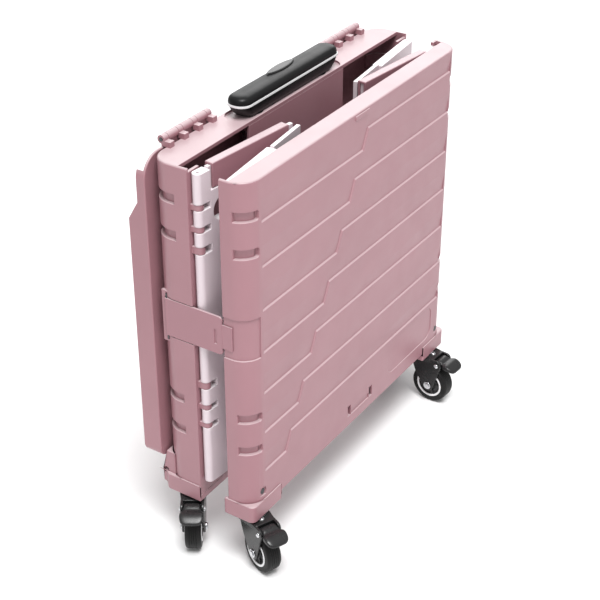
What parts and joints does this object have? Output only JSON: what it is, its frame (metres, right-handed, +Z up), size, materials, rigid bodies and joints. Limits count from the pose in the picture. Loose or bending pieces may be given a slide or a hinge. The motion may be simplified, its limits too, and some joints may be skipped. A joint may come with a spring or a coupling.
{
  "type": "folding platform cart",
  "caption": "Folding box cart on swivel casters: two tray shells joined by inward-folding side walls, with a hung lid and a telescopic handle.",
  "frame": {"origin": "on the floor, under the middle of the folded cart's outline", "axes": "+X across the cart, +Y from the front shell towards the lid, +Z up"},
  "size_m": [0.4816, 0.1794, 0.4926],
  "materials": {
    "shell_pink": "satin",
    "lid_pink": "satin",
    "bar_pink": "satin",
    "panel_white": "satin",
    "grip_black": "satin",
    "button_black": "gloss",
    "trim_silver": "polished",
    "tube_steel": "brushed",
    "collar_black": "satin",
    "pin_steel": "zinc plated",
    "caster_steel": "zinc plated",
    "fork_black": "satin",
    "pedal_black": "satin",
    "hub_grey": "satin",
    "tyre_black": "matte"
  },
  "bodies": {
    "rear_shell": {"rear_shell": "shell_pink", "handle_bay_cover": "shell_pink", "left_rear_pin": "pin_steel", "right_rear_pin": "pin_steel", "lid_pins": "pin_steel", "outer_tubes": "tube_steel", "tube_collars": "collar_black", "foot_rear_left": "shell_pink", "foot_rear_right": "shell_pink", "rear_screws": "pin_steel", "belt_pin": "pin_steel", "caster_rear_left_mount": "caster_steel", "caster_rear_right_mount": "caster_steel"},
    "front_shell": {"front_shell": "shell_pink", "left_front_pin": "pin_steel", "right_front_pin": "pin_steel", "floor_pins": "pin_steel", "foot_front_left": "shell_pink", "foot_front_right": "shell_pink", "front_screws": "pin_steel", "caster_front_left_mount": "caster_steel", "caster_front_right_mount": "caster_steel"},
    "left_rear_half": {"left_rear_panel": "panel_white", "left_middle_pin": "pin_steel"},
    "left_front_half": {"left_front_panel": "panel_white"},
    "right_rear_half": {"right_rear_panel": "panel_white"},
    "right_front_half": {"right_front_panel": "panel_white", "right_middle_pin": "pin_steel"},
    "left_lock": {"left_lock_bar": "bar_pink"},
    "right_lock": {"right_lock_bar": "bar_pink"},
    "lid": {"lid_panel": "lid_pink"},
    "floor": {"floor_panel": "panel_white"},
    "belt": {"belt_strap": "bar_pink"},
    "handle_middle": {"middle_tubes": "tube_steel"},
    "handle_top": {"inner_tubes": "tube_steel", "grip_lower": "grip_black", "grip_trim": "trim_silver", "grip_upper": "grip_black"},
    "button": {"release_button": "button_black"},
    "caster_front_left_swivel": {"caster_front_left_fork": "fork_black", "caster_front_left_axle": "caster_steel"},
    "caster_front_left_wheel": {"caster_front_left_hub": "hub_grey", "caster_front_left_tyre": "tyre_black"},
    "caster_front_left_brake": {"caster_front_left_pedal": "pedal_black"},
    "caster_front_right_swivel": {"caster_front_right_fork": "fork_black", "caster_front_right_axle": "caster_steel"},
    "caster_front_right_wheel": {"caster_front_right_hub": "hub_grey", "caster_front_right_tyre": "tyre_black"},
    "caster_front_right_brake": {"caster_front_right_pedal": "pedal_black"},
    "caster_rear_left_swivel": {"caster_rear_left_fork": "fork_black", "caster_rear_left_axle": "caster_steel"},
    "caster_rear_left_wheel": {"caster_rear_left_hub": "hub_grey", "caster_rear_left_tyre": "tyre_black"},
    "caster_rear_left_brake": {"caster_rear_left_pedal": "pedal_black"},
    "caster_rear_right_swivel": {"caster_rear_right_fork": "fork_black", "caster_rear_right_axle": "caster_steel"},
    "caster_rear_right_wheel": {"caster_rear_right_hub": "hub_grey", "caster_rear_right_tyre": "tyre_black"},
    "caster_rear_right_brake": {"caster_rear_right_pedal": "pedal_black"}
  },
  "joints": [
    {"name": "left_rear_fold", "type": "hinge", "parent": "rear_shell", "child": "left_rear_half", "pos_m": [-0.201, 0.01222, 0.278], "axis": [0, 0, -1], "range_deg": [0, 84.13]},
    {"name": "left_middle_fold", "type": "hinge", "parent": "left_rear_half", "child": "left_front_half", "pos_m": [-0.06244, -0.00654, 0.278], "axis": [0, 0, 1], "range_deg": [0, 168.26]},
    {"name": "left_front_fold", "type": "hinge", "parent": "left_front_half", "child": "front_shell", "pos_m": [-0.201, -0.02528, 0.278], "axis": [0, 0, -1], "range_deg": [0, 84.13]},
    {"name": "right_rear_fold", "type": "hinge", "parent": "rear_shell", "child": "right_rear_half", "pos_m": [0.201, 0.01222, 0.278], "axis": [0, 0, 1], "range_deg": [0, 84.13]},
    {"name": "right_middle_fold", "type": "hinge", "parent": "right_rear_half", "child": "right_front_half", "pos_m": [0.06244, -0.00654, 0.278], "axis": [0, 0, -1], "range_deg": [0, 168.26]},
    {"name": "left_bar_slide", "type": "slide", "parent": "left_rear_half", "child": "left_lock", "axis": [0.9948, -0.1021, 0], "range_m": [0, 0.052]},
    {"name": "right_bar_slide", "type": "slide", "parent": "right_front_half", "child": "right_lock", "axis": [-0.9948, 0.1021, 0], "range_m": [0, 0.041]},
    {"name": "lid_hinge", "type": "hinge", "parent": "rear_shell", "child": "lid", "pos_m": [0, 0.06921, 0.475], "axis": [1, 0, 0], "range_deg": [0, 270]},
    {"name": "floor_hinge", "type": "hinge", "parent": "front_shell", "child": "floor", "pos_m": [0, -0.04079, 0.0965], "axis": [-1, 0, 0], "range_deg": [0, 1.2]},
    {"name": "belt_hinge", "type": "hinge", "parent": "rear_shell", "child": "belt", "pos_m": [-0.2086, 0.05192, 0.294], "axis": [0, 0, -1], "range_deg": [0, 95]},
    {"name": "handle_lower_stage", "type": "slide", "parent": "rear_shell", "child": "handle_middle", "axis": [0, 0, 1], "range_m": [0, 0.25]},
    {"name": "handle_upper_stage", "type": "slide", "parent": "handle_middle", "child": "handle_top", "axis": [0, 0, 1], "range_m": [0, 0.25]},
    {"name": "button_press", "type": "slide", "parent": "handle_top", "child": "button", "axis": [0, 0, -1], "range_m": [0, 0.003], "stiffness_N_per_m": 400, "springref_m": -0.001},
    {"name": "caster_front_left_turn", "type": "hinge", "parent": "front_shell", "child": "caster_front_left_swivel", "pos_m": [-0.187, -0.03129, 0.063], "axis": [0, 0, 1], "range_deg": [-72, 118]},
    {"name": "caster_front_left_spin", "type": "hinge", "parent": "caster_front_left_swivel", "child": "caster_front_left_wheel", "pos_m": [-0.1956, -0.05154, 0.025], "axis": [0.9205, -0.3907, 0], "continuous": true},
    {"name": "caster_front_left_brake_press", "type": "hinge", "parent": "caster_front_left_swivel", "child": "caster_front_left_brake", "pos_m": [-0.19989, -0.06166, 0.058], "axis": [0.9205, -0.3907, 0], "range_deg": [0, 9]},
    {"name": "caster_front_right_turn", "type": "hinge", "parent": "front_shell", "child": "caster_front_right_swivel", "pos_m": [0.187, -0.03129, 0.063], "axis": [0, 0, 1], "range_deg": [-91, 99]},
    {"name": "caster_front_right_spin", "type": "hinge", "parent": "caster_front_right_swivel", "child": "caster_front_right_wheel", "pos_m": [0.18546, -0.05323, 0.025], "axis": [0.9976, -0.0698, 0], "continuous": true},
    {"name": "caster_front_right_brake_press", "type": "hinge", "parent": "caster_front_right_swivel", "child": "caster_front_right_brake", "pos_m": [0.1847, -0.0642, 0.058], "axis": [0.9976, -0.0698, 0], "range_deg": [0, 9]},
    {"name": "caster_rear_left_turn", "type": "hinge", "parent": "rear_shell", "child": "caster_rear_left_swivel", "pos_m": [-0.187, 0.04571, 0.063], "axis": [0, 0, 1], "range_deg": [-278, 32]},
    {"name": "caster_rear_left_spin", "type": "hinge", "parent": "caster_rear_left_swivel", "child": "caster_rear_left_wheel", "pos_m": [-0.20545, 0.03373, 0.025], "axis": [0.5446, -0.8387, 0], "continuous": true},
    {"name": "caster_rear_left_brake_press", "type": "hinge", "parent": "caster_rear_left_swivel", "child": "caster_rear_left_brake", "pos_m": [-0.21468, 0.02774, 0.058], "axis": [0.5446, -0.8387, 0], "range_deg": [0, 9]},
    {"name": "caster_rear_right_turn", "type": "hinge", "parent": "rear_shell", "child": "caster_rear_right_swivel", "pos_m": [0.187, 0.04571, 0.063], "axis": [0, 0, 1], "range_deg": [-32, 278]},
    {"name": "caster_rear_right_spin", "type": "hinge", "parent": "caster_rear_right_swivel", "child": "caster_rear_right_wheel", "pos_m": [0.20545, 0.03373, 0.025], "axis": [0.5446, 0.8387, 0], "continuous": true},
    {"name": "caster_rear_right_brake_press", "type": "hinge", "parent": "caster_rear_right_swivel", "child": "caster_rear_right_brake", "pos_m": [0.21468, 0.02774, 0.058], "axis": [0.5446, 0.8387, 0], "range_deg": [0, 9]}
  ],
  "couplings": [
    {"joint": "left_middle_fold", "follows": "left_rear_fold", "ratio": 2},
    {"joint": "left_front_fold", "follows": "left_rear_fold", "ratio": 1},
    {"joint": "right_rear_fold", "follows": "left_rear_fold", "ratio": 1},
    {"joint": "right_middle_fold", "follows": "left_rear_fold", "ratio": 2},
    {"joint": "handle_upper_stage", "follows": "handle_lower_stage", "ratio": 1}
  ]
}
